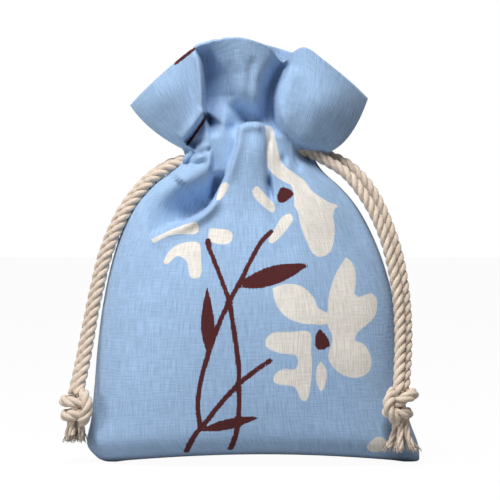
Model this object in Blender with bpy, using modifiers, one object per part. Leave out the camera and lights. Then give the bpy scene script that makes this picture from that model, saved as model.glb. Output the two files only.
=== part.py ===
"""A drawstring pouch of printed linen, filled out, drawn shut and standing on its base.

One sheet of cloth is folded at the bottom and sewn up both sides. At the neck it is gathered into
pleats round a casing, and above the casing it opens into a ruffle that is split at both sides.
Two cotton cords run round the neck inside the casing. One leaves it at each side, hangs down the
seam as two strands, and ends in a knot with frayed ends below it.
+Z is up, the front of the pouch faces -Y, and the origin is the middle of its base, in metres.
"""
import math

import bmesh
import bpy
import numpy as np
from mathutils import Matrix, Vector

# Body of the pouch
BASE_WIDTH = 0.0984
BODY_DEPTH = 0.044
CLOTH_THICKNESS = 0.0010
EDGE_ARCH = 0.0036  # how far the front's and back's lower edges rise in the middle
SECTION_POWER = 2.35  # how square a level section is: 2 is an ellipse

# Neck and casing
CASING_HEIGHT = 0.0912  # the middle of the casing, over the base
CASING_WALL = 0.0010
CASING_PLAY = 0.00045  # round each cord in the casing
NECK_WIDTH = 0.0335
NECK_DEPTH = 0.0200
PLEATS_PER_SIDE = 5
PLEAT_DEPTH = 0.0034
PLEAT_RUN = 0.030  # how far the pleats run down into the body
SLIT_GAP = 0.0012

# Ruffle above the casing
RUFFLE_WIDTH = 0.0710
RUFFLE_DEPTH = 0.0300
RUFFLE_HEIGHT = 0.0336  # over the middle of the casing

# Cords
CORD_DIAMETER = 0.0035
FIT_GAP = 0.0003
KNOT_WIDTH = 0.0104
KNOT_HEIGHT = 0.0098
WRAP_DIAMETER = 0.0038
SOCKET_DEPTH = 0.0016
FRAY_TOP_WIDTH = 0.0060
LEFT_FRAY = (0.0068, 0.0082)  # length and width at its end
RIGHT_FRAY = (0.0096, 0.0120)
FRAY_LOCKS = 7

# How finely the cloth and the cords are faceted
COLUMNS = 40
BODY_ROWS = 21
RUFFLE_ROWS = 7
CORD_STEP = 0.0036
CORD_RESOLUTION = 2
SECTION_SAMPLES = 72
WELD = 1e-6

# The pouch's outline from the bottom fold up to the neck: the share of the neck's height, the shares
# of the way from the neck's width out to the base's on the left and on the right, and the share of
# the body's full depth
BOTTOM_FOLD = (0.0, 0.70, 0.89, 0.0)
UNDERSIDE = (0.0, 0.76, 0.95, 0.40)
OUTLINE = (
    BOTTOM_FOLD,
    UNDERSIDE,
    (0.004, 0.830, 0.985, 0.64),
    (0.020, 0.910, 1.000, 0.79),
    (0.064, 1.004, 0.962, 0.88),
    (0.150, 0.940, 0.928, 0.94),
    (0.267, 0.898, 0.871, 0.985),
    (0.395, 0.862, 0.843, 1.00),
    (0.540, 0.815, 0.803, 0.964),
    (0.680, 0.722, 0.704, 0.873),
    (0.790, 0.622, 0.587, 0.773),
    (0.880, 0.480, 0.451, 0.668),
    (0.950, 0.300, 0.291, 0.58),
)

# The ruffle from the left side to the right, as shares of half its width, half its depth and its
# height: its top edge, and the line that the cloth swings out towards on its way up to it
FRONT_HEM = (
    (-1.00, 0.10, 0.43), (-0.90, -0.13, 0.53), (-0.775, -0.40, 0.65), (-0.62, -0.58, 0.79),
    (-0.50, -0.46, 0.885), (-0.40, -0.42, 0.935), (-0.345, -0.86, 0.955), (-0.225, -0.97, 0.985),
    (-0.085, -1.00, 0.992), (0.056, -0.967, 0.958), (0.169, -0.833, 0.908), (0.268, -0.45, 0.792),
    (0.366, -0.667, 0.887), (0.465, -0.733, 0.914), (0.606, -0.70, 0.810), (0.760, -0.533, 0.685),
    (0.887, -0.267, 0.577), (0.983, 0.033, 0.488),
)
FRONT_SWEEP = (
    (-0.840, -0.20, 0.170), (-0.760, -0.467, 0.232), (-0.648, -0.60, 0.321), (-0.549, -0.62, 0.440),
    (-0.451, -0.48, 0.560), (-0.385, -0.46, 0.600), (-0.345, -0.80, 0.630), (-0.239, -0.85, 0.649),
    (-0.113, -0.88, 0.664), (0.000, -0.88, 0.649), (0.127, -0.80, 0.619), (0.215, -0.52, 0.545),
    (0.300, -0.733, 0.530), (0.451, -0.95, 0.485), (0.592, -0.98, 0.381), (0.718, -0.85, 0.250),
    (0.789, -0.533, 0.140), (0.794, -0.267, 0.070),
)
BACK_HEM = (
    (-0.958, 0.433, 0.429), (-0.817, 0.733, 0.560), (-0.660, 0.960, 0.690), (-0.490, 0.947, 0.800),
    (-0.370, 0.660, 0.881), (-0.240, 0.433, 0.929), (-0.070, 0.600, 1.000), (0.090, 0.867, 0.985),
    (0.250, 1.000, 0.946), (0.389, 0.760, 0.899), (0.479, 0.453, 0.851), (0.620, 0.700, 0.780),
    (0.730, 0.960, 0.679), (0.851, 0.767, 0.580), (0.958, 0.320, 0.491),
)
BACK_SWEEP = (
    (-0.803, 0.300, 0.173), (-0.690, 0.667, 0.247), (-0.577, 0.900, 0.351), (-0.437, 0.900, 0.470),
    (-0.324, 0.700, 0.530), (-0.197, 0.567, 0.574), (-0.056, 0.667, 0.604), (0.085, 0.833, 0.589),
    (0.211, 0.900, 0.560), (0.338, 0.733, 0.530), (0.423, 0.600, 0.485), (0.549, 0.767, 0.396),
    (0.662, 0.900, 0.277), (0.746, 0.667, 0.190), (0.775, 0.300, 0.130),
)

# Broad folds: side (-1 front, 1 back), place across as a share of half the neck's width, place up as
# a share of the casing's height, how far it stands out, and its half extents as the same shares
BROAD_FOLDS = (
    (-1, -1.05, 0.815, -0.0046, 0.55, 0.058),
    (-1, -0.60, 0.875, -0.0030, 0.26, 0.050),
    (-1, -1.20, 0.900, 0.0016, 0.42, 0.044),
    (-1, 0.08, 0.910, 0.0022, 0.32, 0.090),
    (-1, 0.42, 0.870, -0.0014, 0.12, 0.060),
    (-1, -0.24, 1.133, -0.0032, 0.28, 0.044),
    (1, -0.63, 0.840, -0.0030, 0.55, 0.130),
    (1, 0.66, 0.830, 0.0024, 0.60, 0.150),
)

# Points that the strands hang through, from the side of the casing down to the knots
LEFT_FRONT_STRAND = (
    (-0.0142, -0.0028, 0.0893), (-0.0178, -0.0025, 0.0893), (-0.0230, -0.0026, 0.0878),
    (-0.0294, -0.0028, 0.0831), (-0.0352, -0.0031, 0.0760), (-0.0391, -0.0034, 0.0690),
    (-0.0423, -0.0037, 0.0608), (-0.0445, -0.0040, 0.0520), (-0.0462, -0.0046, 0.0440),
    (-0.0475, -0.0056, 0.0360), (-0.0488, -0.0069, 0.0285), (-0.0505, -0.0092, 0.0205),
)
LEFT_BACK_STRAND = (
    (-0.0142, 0.0028, 0.0893), (-0.0178, 0.0025, 0.0895), (-0.0234, 0.0022, 0.0882),
    (-0.0301, 0.0015, 0.0838), (-0.0361, 0.0008, 0.0768), (-0.0402, 0.0004, 0.0696),
    (-0.0434, 0.0001, 0.0612), (-0.0456, -0.0002, 0.0522), (-0.0473, -0.0007, 0.0441),
    (-0.0488, -0.0017, 0.0360), (-0.0502, -0.0030, 0.0285), (-0.0519, -0.0053, 0.0205),
)
RIGHT_FRONT_STRAND = (
    (0.0142, -0.0027, 0.0925), (0.0176, -0.0023, 0.0916), (0.0222, -0.0030, 0.0893),
    (0.0284, -0.0048, 0.0852), (0.0340, -0.0064, 0.0780), (0.0384, -0.0075, 0.0694),
    (0.0413, -0.0083, 0.0600), (0.0431, -0.0092, 0.0500), (0.0438, -0.0108, 0.0400),
    (0.0436, -0.0136, 0.0310), (0.0429, -0.0176, 0.0215),
)
RIGHT_BACK_STRAND = (
    (0.0142, 0.0027, 0.0929), (0.0178, 0.0021, 0.0925), (0.0232, 0.0014, 0.0907),
    (0.0303, -0.0001, 0.0868), (0.0363, -0.0021, 0.0796), (0.0407, -0.0037, 0.0701),
    (0.0437, -0.0049, 0.0602), (0.0453, -0.0063, 0.0500), (0.0459, -0.0080, 0.0400),
    (0.0456, -0.0108, 0.0310), (0.0447, -0.0156, 0.0215),
)

# Colours
LINEN_BLUE = (0.33, 0.52, 0.80, 1.0)
COTTON_CREAM = (0.84, 0.76, 0.64, 1.0)

CORD_SPACING = CORD_DIAMETER + FIT_GAP  # between the two cords stacked in the casing
CASING_BAND = CORD_SPACING + CORD_DIAMETER + 2 * (CASING_PLAY + CASING_WALL)
CORD_INSET = CLOTH_THICKNESS / 2 + CASING_WALL + CASING_PLAY + CORD_DIAMETER / 2
NECK_START = CASING_HEIGHT - CASING_BAND / 2
RUFFLE_START = CASING_HEIGHT + CASING_BAND / 2
FRONT = -1
BACK = 1


def clear_scene():
    for thing in list(bpy.data.objects):
        bpy.data.objects.remove(thing, do_unlink=True)


def collection_named(name, shown):
    group = bpy.data.collections.new(name)
    bpy.context.scene.collection.children.link(group)
    group.hide_render = not shown
    return group


def material_named(name, colour, roughness):
    material = bpy.data.materials.new(name)
    material.use_nodes = True
    shader = material.node_tree.nodes["Principled BSDF"]
    shader.inputs["Base Color"].default_value = colour
    shader.inputs["Roughness"].default_value = roughness
    shader.inputs["Metallic"].default_value = 0.0
    return material


def add_object(name, data, group, material=None):
    thing = bpy.data.objects.new(name, data)
    group.objects.link(thing)
    if material is not None:
        data.materials.append(material)
    return thing


def as_cutter(thing):
    thing.hide_render = True
    thing.display_type = "WIRE"
    return thing


def smooth_point(points, at):
    """The point at a place from 0 to the last index on a smooth curve through the points."""
    last = len(points) - 1
    i = min(int(at), last - 1)
    t = at - i
    p0, p1, p2, p3 = (points[min(max(k, 0), last)] for k in (i - 1, i, i + 1, i + 2))
    return 0.5 * (
        2 * p1 + (p2 - p0) * t + (2 * p0 - 5 * p1 + 4 * p2 - p3) * t**2
        + (3 * p1 - p0 - 3 * p2 + p3) * t**3
    )


def even_line(points, step):
    """Points about one step apart along a smooth curve through the given ones."""
    samples = 12 * (len(points) - 1)
    dense = np.array([smooth_point(points, (len(points) - 1) * k / samples) for k in range(samples + 1)])
    along = np.concatenate([[0], np.cumsum(np.linalg.norm(np.diff(dense, axis=0), axis=1))])
    at = np.linspace(0, along[-1], round(along[-1] / step) + 1)
    return [Vector([float(np.interp(s, along, dense[:, k])) for k in range(3)]) for s in at]


def smooth_step(value, start, end):
    share = min(max((value - start) / (end - start), 0.0), 1.0)
    return share * share * (3 - 2 * share)


def station(height_share, left_share, right_share, depth_share):
    neck = NECK_WIDTH / 2
    flare = BASE_WIDTH / 2 - neck
    return np.array([
        height_share * NECK_START,
        -neck - flare * left_share,
        neck + flare * right_share,
        BODY_DEPTH / 2 * depth_share,
    ])


def outline_stations():
    """Height, left edge, right edge and half depth at each station, up to the casing's top edge."""
    stations = [station(*shares) for shares in OUTLINE]
    for height in (NECK_START, CASING_HEIGHT, RUFFLE_START):
        stations.append(np.array([height, -NECK_WIDTH / 2, NECK_WIDTH / 2, NECK_DEPTH / 2]))
    return stations


def section_at(stations, row):
    """The station values at a row; the first two rows bound the flat underside."""
    last = len(stations) - 1
    at = row if row <= 1 else 1 + (row - 1) * (last - 1) / (BODY_ROWS - 1)
    height, left, right, half_depth = smooth_point(stations, at)
    return max(height, 0.0), left, right, max(half_depth, 0.0)


def section_place(half_width, half_depth, share):
    """The point at a share of half a section's length from the left seam, and the outward normal."""
    turn = np.linspace(0, math.pi, SECTION_SAMPLES + 1)
    across = -np.cos(turn)
    x = half_width * across
    y = half_depth * np.sqrt(1 - np.abs(across) ** SECTION_POWER)
    along = np.concatenate([[0], np.cumsum(np.hypot(np.diff(x), np.diff(y)))])
    place = Vector((
        float(np.interp(share * along[-1], along, x)), float(np.interp(share * along[-1], along, y)),
    ))
    t = place.x / half_width
    slope = SECTION_POWER / 2 * math.copysign(abs(t) ** (SECTION_POWER - 1), t)
    normal = Vector((slope * half_depth**2, place.y * half_width))
    if normal.length < WELD**2:
        normal = Vector((math.copysign(1.0, t), 0.0))
    return place, normal.normalized()


def oval_length(half_width, half_depth):
    """The length of half an oval that has straight sides and round ends."""
    return 2 * (half_width - half_depth) + math.pi * half_depth


def oval_place(half_width, half_depth, share):
    """The same as on the ellipse, but on half such an oval."""
    length = oval_length(half_width, half_depth)
    straight = half_width - half_depth
    quarter = math.pi / 2 * half_depth
    along = share * length
    if along < quarter:
        angle, middle = along / half_depth, -straight
    elif along > length - quarter:
        angle, middle = math.pi - (length - along) / half_depth, straight
    else:
        angle, middle = math.pi / 2, along - quarter - straight
    normal = Vector((-math.cos(angle), math.sin(angle)))
    return Vector((middle, 0)) + normal * half_depth, normal


def pleat_wave(share):
    """From 0 in a pleat's valley to 1 on its crest, with a valley at both seams."""
    return math.sin(math.pi * PLEATS_PER_SIDE * share) ** 2


def fold_offset(side, place):
    """How far the broad folds bring the cloth out at a place on one side of the pouch."""
    offset = 0.0
    for fold_side, x_share, z_share, depth, across, up in BROAD_FOLDS:
        if fold_side == side:
            x = place.x / (NECK_WIDTH / 2) - x_share
            z = place.z / CASING_HEIGHT - z_share
            offset += depth * math.exp(-((x / across) ** 2) - (z / up) ** 2)
    return offset


def body_point(stations, side, share, row):
    """A point of the cloth below the top of the casing."""
    height, left, right, half_depth = section_at(stations, row)
    half_width = (right - left) / 2
    near_neck = smooth_step(height, NECK_START - PLEAT_RUN, NECK_START)
    place, normal = section_place(half_width, half_depth, share)
    oval, oval_normal = oval_place(half_width, half_depth, share)
    at_neck = smooth_step(height, NECK_START - PLEAT_RUN / 3, NECK_START)
    place = place.lerp(oval, at_neck)
    normal = normal.lerp(oval_normal, at_neck).normalized()
    x, y = place + normal * PLEAT_DEPTH * pleat_wave(share) * near_neck**1.5
    rise = smooth_step(half_depth, UNDERSIDE[3] * BODY_DEPTH / 2, 0.9 * BODY_DEPTH / 2)
    fade = 1 - smooth_step(height, 0.0, NECK_START / 3)
    height += EDGE_ARCH * (1 - (2 * share - 1) ** 2) * rise * fade
    return Vector((x + (left + right) / 2, side * y, height))


def ruffle_place(line, share):
    """The point at a share of the way along one of the ruffle's lines."""
    x, y, z = smooth_point([np.array(point) for point in line], share * (len(line) - 1))
    return Vector((x * RUFFLE_WIDTH / 2, y * RUFFLE_DEPTH / 2, CASING_HEIGHT + z * RUFFLE_HEIGHT))


def ruffle_point(stations, side, share, rise):
    """A point of the cloth above the casing, at a share of the way from it to the top edge."""
    neck = body_point(stations, side, share, BODY_ROWS)
    sweep = ruffle_place(FRONT_SWEEP if side == FRONT else BACK_SWEEP, share)
    hem = ruffle_place(FRONT_HEM if side == FRONT else BACK_HEM, share)
    return neck.lerp(sweep, rise).lerp(sweep.lerp(hem, rise), rise)


def cloth_point(stations, side, share, row):
    if row <= BODY_ROWS:
        point = body_point(stations, side, share, row)
    else:
        point = ruffle_point(stations, side, share, (row - BODY_ROWS) / RUFFLE_ROWS)
    point.y += side * fold_offset(side, point) * (1 - abs(2 * share - 1) ** 6)
    if share in (0.0, 1.0):
        if row > BODY_ROWS:
            point.y += side * SLIT_GAP / 2
        elif point.z > NECK_START - WELD:
            point.y = side * SLIT_GAP / 2
    return point


def cloth_sheet():
    """Front and back panels as two grids, welded along the bottom fold and the side seams."""
    stations = outline_stations()
    rows = BODY_ROWS + RUFFLE_ROWS
    sheet = bmesh.new()
    for side in (FRONT, BACK):
        panel = bmesh.ops.create_grid(sheet, x_segments=COLUMNS, y_segments=rows, size=0.5)
        for vert in panel["verts"]:
            column = round((vert.co.x + 0.5) * COLUMNS)
            row = round((vert.co.y + 0.5) * rows)
            vert.co = cloth_point(stations, side, column / COLUMNS, row)
    bmesh.ops.remove_doubles(sheet, verts=sheet.verts, dist=WELD)
    bmesh.ops.recalc_face_normals(sheet, faces=sheet.faces)
    lowest = min(sheet.faces, key=lambda face: face.calc_center_median().z)
    if lowest.normal.z > 0:
        bmesh.ops.reverse_faces(sheet, faces=sheet.faces)
    mesh = bpy.data.meshes.new("cloth_sheet")
    sheet.to_mesh(mesh)
    sheet.free()
    mesh.shade_smooth()
    return mesh


def neck_line(side, inset, shares, height):
    """Points along one side of the neck's outline, brought in by the inset, at a height."""
    half_width, half_depth = NECK_WIDTH / 2 - inset, NECK_DEPTH / 2 - inset
    places = [oval_place(half_width, half_depth, share)[0] for share in shares]
    return [Vector((place.x, side * place.y, height)) for place in places]


def tube_curve(name, line, radius, extrude=0.0):
    curve = bpy.data.curves.new(name, "CURVE")
    curve.dimensions = "3D"
    curve.twist_mode = "Z_UP" if extrude else "MINIMUM"
    curve.bevel_depth = radius
    curve.bevel_resolution = CORD_RESOLUTION
    curve.extrude = extrude
    curve.use_fill_caps = True
    spline = curve.splines.new("POLY")
    spline.points.add(len(line) - 1)
    for point, place in zip(spline.points, line):
        point.co = (*place, 1.0)
    return curve


def curve_to_mesh_object(name, curve, group):
    """The curve's tube as a welded, closed mesh, which a Boolean can use."""
    guide = add_object(name + "_guide", curve, group)
    bpy.context.view_layer.update()
    mesh = bpy.data.meshes.new_from_object(guide.evaluated_get(bpy.context.evaluated_depsgraph_get()))
    place = guide.matrix_world.copy()
    bpy.data.objects.remove(guide)
    welded = bmesh.new()
    welded.from_mesh(mesh)
    bmesh.ops.remove_doubles(welded, verts=welded.verts, dist=WELD)
    bmesh.ops.recalc_face_normals(welded, faces=welded.faces)
    welded.to_mesh(mesh)
    welded.free()
    thing = add_object(name, mesh, group)
    thing.matrix_world = place
    return thing


def add_boolean(thing, operation, other):
    modifier = thing.modifiers.new(other.name, "BOOLEAN")
    modifier.operation = operation
    modifier.object = other
    modifier.solver = "EXACT"
    modifier.use_self = True


def casing_half(name, side, group):
    """The bunched cloth that holds the cords, along one side of the neck."""
    half_thickness = CORD_INSET - CLOTH_THICKNESS / 2
    length = oval_length(NECK_WIDTH / 2 - CORD_INSET, NECK_DEPTH / 2 - CORD_INSET)
    end = (SLIT_GAP / 2 + FIT_GAP) / length
    shares = np.linspace(end, 1 - end, 25)
    line = neck_line(side, CORD_INSET, shares, CASING_HEIGHT)
    curve = tube_curve(name, line, half_thickness, extrude=CASING_BAND / 2 - half_thickness)
    return as_cutter(curve_to_mesh_object(name, curve, group))


def cord_route(front_strand, back_strand, hand, level):
    """From one knot up the front strand, round the neck in the casing, and down the back strand."""
    shares = np.linspace(0.18, 1.0, 10) if hand < 0 else np.linspace(0.82, 0.0, 10)
    front = neck_line(FRONT, CORD_INSET, shares, level)
    back = neck_line(BACK, CORD_INSET, shares[::-1], level)
    way_up = [Vector(point) for point in reversed(front_strand)]
    way_down = [Vector(point) for point in back_strand]
    return way_up + front + back[1:] + way_down


def neck_stretch(route):
    """The part of a cord's route that lies in the casing or crosses its wall."""
    reach = NECK_WIDTH / 2 + 1.4 * CORD_DIAMETER
    return [point for point in route if abs(point.x) < reach and point.z > NECK_START]


def ring_wrap(name, centre, ring_width, tilt, group):
    """One turn of the doubled cord round the knot, as a tilted ring."""
    bpy.ops.mesh.primitive_torus_add(
        major_segments=20, minor_segments=8,
        major_radius=(ring_width - WRAP_DIAMETER) / 2, minor_radius=WRAP_DIAMETER / 2,
        location=centre, rotation=tilt,
    )
    wrap = bpy.context.object
    wrap.name = name
    for holder in wrap.users_collection:
        holder.objects.unlink(wrap)
    group.objects.link(wrap)
    return as_cutter(wrap)


def socket_cutter(name, end, inside, width, group):
    """A round socket with its mouth outside the knot, along the line from inside to end."""
    direction = (end - inside).normalized()
    shape = bmesh.new()
    bmesh.ops.create_cone(
        shape, cap_ends=True, segments=12, radius1=width / 2, radius2=width / 2,
        depth=2 * KNOT_HEIGHT,
    )
    turn = direction.to_track_quat("Z", "Y").to_matrix().to_4x4()
    place = Matrix.Translation(inside + direction * KNOT_HEIGHT) @ turn
    bmesh.ops.transform(shape, matrix=place, verts=shape.verts)
    mesh = bpy.data.meshes.new(name)
    shape.to_mesh(mesh)
    shape.free()
    return as_cutter(add_object(name, mesh, group))


def knot_solid(name, centre, strands, material, group, cutters):
    """An overhand knot in the two strands: a core with two crossed turns, socketed for the cords."""
    shape = bmesh.new()
    bmesh.ops.create_uvsphere(shape, u_segments=18, v_segments=12, radius=0.5)
    size = (0.80 * KNOT_WIDTH, 0.80 * KNOT_WIDTH, KNOT_HEIGHT)
    bmesh.ops.scale(shape, vec=size, verts=shape.verts)
    bmesh.ops.translate(shape, vec=centre, verts=shape.verts)
    mesh = bpy.data.meshes.new(name)
    shape.to_mesh(mesh)
    shape.free()
    mesh.shade_smooth()
    knot = add_object(name, mesh, group, material)
    rise = Vector((0, 0, 0.20 * KNOT_HEIGHT))
    upper = ring_wrap(name + "_upper_turn", centre + rise, KNOT_WIDTH, (0.35, -0.25, 0.0), cutters)
    lower = ring_wrap(name + "_lower_turn", centre - rise, 0.9 * KNOT_WIDTH, (-0.30, 0.30, 0.4), cutters)
    add_boolean(knot, "UNION", upper)
    add_boolean(knot, "UNION", lower)
    for number, line in enumerate(strands):
        foot = line[0] - (line[1] - line[0]).normalized() * FIT_GAP
        socket = socket_cutter(
            f"{name}_socket_{number}", line[1], foot, CORD_DIAMETER + 2 * FIT_GAP, cutters
        )
        add_boolean(knot, "DIFFERENCE", socket)
    fray_top = centre - Vector((0, 0, KNOT_HEIGHT / 2 - SOCKET_DEPTH))
    fray_socket = socket_cutter(
        name + "_fray_socket", fray_top - Vector((0, 0, 1)), fray_top + Vector((0, 0, FIT_GAP)),
        FRAY_TOP_WIDTH + 2 * FIT_GAP, cutters,
    )
    add_boolean(knot, "DIFFERENCE", fray_socket)
    return knot


def frayed_end(name, centre, fray, material, group):
    """The cord's untwisted ends below the knot, as one skirt of locks that spreads downwards."""
    length, end_width = fray
    top = FRAY_TOP_WIDTH / 2
    shape = bmesh.new()
    bmesh.ops.create_cone(
        shape, cap_ends=True, segments=4 * FRAY_LOCKS, radius1=top, radius2=top, depth=length,
    )
    upright = [edge for edge in shape.edges if abs(edge.verts[0].co.z - edge.verts[1].co.z) > length / 2]
    bmesh.ops.subdivide_edges(shape, edges=upright, cuts=3)
    for vert in shape.verts:
        down = 0.5 - vert.co.z / length
        angle = math.atan2(vert.co.y, vert.co.x)
        spread = 1 + (end_width / FRAY_TOP_WIDTH - 1) * down**2 - 0.4 * down * (1 - down)
        lock = 1 + 0.10 * down * math.cos(FRAY_LOCKS * angle)
        vert.co.x *= spread * lock
        vert.co.y *= spread * lock
        vert.co.z += 0.06 * length * down * math.sin(2 * angle + 1)
    place = centre - Vector((0, 0, KNOT_HEIGHT / 2 - SOCKET_DEPTH + length / 2))
    bmesh.ops.translate(shape, vec=place, verts=shape.verts)
    mesh = bpy.data.meshes.new(name)
    shape.to_mesh(mesh)
    shape.free()
    mesh.shade_smooth()
    mesh.set_sharp_from_angle(angle=math.radians(50))
    return add_object(name, mesh, group, material)


def drawcord(name, hand, strands, level, fray, cotton, pouch, cutters):
    """One cord with its knot and frayed ends, and the tunnel that it needs in the casing."""
    route = cord_route(*strands, hand, level)
    line = even_line([np.array(point) for point in route], CORD_STEP)
    add_object(f"{name}_drawcord", tube_curve(name, line, CORD_DIAMETER / 2), pouch, cotton)
    ends = (line, line[::-1])
    middle = (line[0] + line[-1]) / 2
    centre = middle - Vector((0, 0, KNOT_HEIGHT / 2 - SOCKET_DEPTH))
    knot_solid(f"{name}_knot", centre, ends, cotton, pouch, cutters)
    frayed_end(f"{name}_frayed_end", centre, fray, cotton, pouch)
    tunnel = tube_curve(f"{name}_tunnel", neck_stretch(line), CORD_DIAMETER / 2 + CASING_PLAY)
    return as_cutter(curve_to_mesh_object(f"{name}_tunnel", tunnel, cutters))


def build_pouch():
    clear_scene()
    pouch = collection_named("drawstring_pouch", shown=True)
    cutters = collection_named("cutters", shown=False)
    linen = material_named("printed_linen", LINEN_BLUE, 0.9)
    cotton = material_named("twisted_cotton", COTTON_CREAM, 0.85)

    cloth = add_object("pouch_cloth", cloth_sheet(), pouch, linen)
    wall = cloth.modifiers.new("wall", "SOLIDIFY")
    wall.thickness = CLOTH_THICKNESS
    wall.offset = -1.0
    for side in (FRONT, BACK):
        name = "front_casing" if side == FRONT else "back_casing"
        add_boolean(cloth, "UNION", casing_half(name, side, cutters))

    upper, lower = CASING_HEIGHT + CORD_SPACING / 2, CASING_HEIGHT - CORD_SPACING / 2
    left_strands = (LEFT_FRONT_STRAND, LEFT_BACK_STRAND)
    right_strands = (RIGHT_FRONT_STRAND, RIGHT_BACK_STRAND)
    left_tunnel = drawcord("left", -1, left_strands, lower, LEFT_FRAY, cotton, pouch, cutters)
    right_tunnel = drawcord("right", 1, right_strands, upper, RIGHT_FRAY, cotton, pouch, cutters)
    add_boolean(cloth, "DIFFERENCE", left_tunnel)
    add_boolean(cloth, "DIFFERENCE", right_tunnel)


build_pouch()
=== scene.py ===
"""Dresses the drawstring pouch: printed linen cloth, twisted cotton cords, their knots and frayed ends.

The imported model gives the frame. The cloth is a fine sheet shaped over a few stations of the body and
four control lines of the ruffle, and its folds are laid on as creases and fold edges. The print is
drawn on the flat cloth from outlines of its petals, leaves and stems. The cords are three-strand ropes
along the routes that the solid tubes have, tied in knots and untwisted below them. All lengths are in
metres where no other unit is named.
"""

import math

import bpy
import numpy as np
from bpy.props import FloatProperty, FloatVectorProperty, PointerProperty
from bpy.types import Operator, Panel, PropertyGroup
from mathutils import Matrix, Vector


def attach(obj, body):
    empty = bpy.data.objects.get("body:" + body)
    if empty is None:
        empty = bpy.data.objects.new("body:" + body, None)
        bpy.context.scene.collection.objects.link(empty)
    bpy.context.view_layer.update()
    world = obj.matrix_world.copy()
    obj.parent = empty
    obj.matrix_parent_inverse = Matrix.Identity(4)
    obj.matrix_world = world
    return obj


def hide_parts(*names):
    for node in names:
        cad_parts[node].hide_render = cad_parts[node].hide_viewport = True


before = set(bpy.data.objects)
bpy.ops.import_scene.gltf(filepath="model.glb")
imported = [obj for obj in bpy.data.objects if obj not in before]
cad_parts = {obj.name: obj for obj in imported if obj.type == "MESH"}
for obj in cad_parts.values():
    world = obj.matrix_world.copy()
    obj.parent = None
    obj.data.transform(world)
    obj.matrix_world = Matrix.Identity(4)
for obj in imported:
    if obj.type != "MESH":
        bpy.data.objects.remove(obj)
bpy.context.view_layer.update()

bl_info = {
    "name": "Drawstring Pouch",
    "version": (1, 0, 0),
    "blender": (4, 5, 0),
    "location": "View3D > Sidebar > Pouch",
    "description": "Makes a gathered linen pouch with twisted drawcords on a pale stage",
    "category": "Add Mesh",
}

# The photograph's scale: its middle column is X = 0, and its floor row is Z = 0
PHOTO_SIZE = 500
PHOTO_MIDDLE_X = 250
PHOTO_FLOOR_Y = 462
METRES_PER_PIXEL = 0.0002959

MM = 0.001
FRONT = -1
BACK = 1

# How finely the cloth is made; the front has twice the back's columns
COLUMNS = {FRONT: 192, BACK: 96}
BODY_ROWS = 106
RUFFLE_ROWS = 54

# The cloth below the neck, from the bottom fold up, in millimetres: height, half depth, left edge,
# right edge, and the power that squares the section off
BODY_STATIONS = (
    (0.0, 0.0, -39.5, 45.5, 2.6),
    (0.0, 8.5, -41.5, 47.8, 2.6),
    (0.3, 14.0, -43.4, 49.8, 2.7),
    (1.6, 17.4, -45.6, 50.2, 2.8),
    (5.5, 19.4, -48.3, 49.7, 2.7),
    (13.0, 20.7, -47.0, 47.0, 2.5),
    (23.0, 21.7, -46.0, 45.0, 2.4),
    (34.0, 22.0, -45.1, 44.1, 2.3),
    (46.5, 21.2, -43.5, 42.8, 2.3),
    (58.5, 19.2, -41.0, 39.6, 2.3),
    (68.0, 17.0, -38.0, 35.8, 2.3),
    (75.8, 14.7, -34.2, 31.4, 2.3),
    (81.8, 13.4, -28.8, 26.2, 2.3),
    (86.6, 12.6, -21.8, 20.4, 2.3),
    (91.0, 12.0, -17.2, 16.9, 2.3),
)
LOWER_ARCH = 3.8 * MM  # how far the lower edges rise in the middle
FOLD_ARCH_SHARE = 0.75  # how much of that the bottom fold between them rises
FOLD_DEPTHS = (8.0, 18.0)  # the half depths in millimetres between which the fold becomes an edge
LOWER_ARCH_HEIGHT = 30.0 * MM  # the height at which the arch has run out
NECK_RUN = 18.0 * MM  # how far below the neck its rise begins
NECK_LIFT = {FRONT: 10.0 * MM, BACK: 5.0 * MM}  # how far the gathered line rises in the middle
NECK_LIFT_SPREAD = 9.0 * MM
SLIT_START = 86.0 * MM
SLIT_HALF_GAP = 4.4 * MM
SLIT_RUN = 4.0 * MM  # the height over which it opens
SLIT_REACH = 0.10  # how far towards the middle it pulls the cloth, as a share of the half width
GATHER_PLEATS = 8
GATHER_SCALE = {FRONT: 0.35, BACK: 1.5}  # the front's own folds are listed further down

# The ruffle in millimetres, from its left edge to its right: the top edge and the line that the
# cloth is drawn towards on its way up to it
FRONT_HEM = (
    (-35.5, 1.5, 105.6), (-32.0, -2.0, 109.0), (-27.5, -6.0, 113.0), (-22.0, -9.0, 117.7),
    (-17.5, -9.5, 121.3), (-13.0, -11.0, 123.0), (-8.0, -14.0, 124.2), (-3.0, -15.0, 124.5),
    (2.0, -14.5, 123.4), (6.0, -12.5, 121.7), (9.5, -8.0, 117.8), (13.0, -10.0, 121.0),
    (16.5, -11.0, 121.9), (21.5, -10.5, 118.4), (27.0, -8.0, 114.2), (31.5, -4.0, 110.6),
    (34.9, 0.5, 107.6),
)
FRONT_SWEEP = (
    (-29.8, -3.0, 96.9), (-27.0, -7.0, 99.0), (-23.0, -9.5, 102.0), (-19.5, -11.0, 106.0),
    (-16.0, -10.5, 110.0), (-12.5, -10.5, 112.0), (-8.5, -12.0, 113.0), (-4.0, -13.0, 113.5),
    (0.0, -13.0, 113.0), (4.5, -12.0, 112.0), (8.0, -9.0, 109.5), (11.5, -11.0, 109.0),
    (16.0, -13.5, 107.5), (21.0, -14.0, 104.0), (25.5, -12.0, 99.0), (28.0, -8.0, 92.5),
    (28.2, -4.0, 88.5),
)
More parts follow.
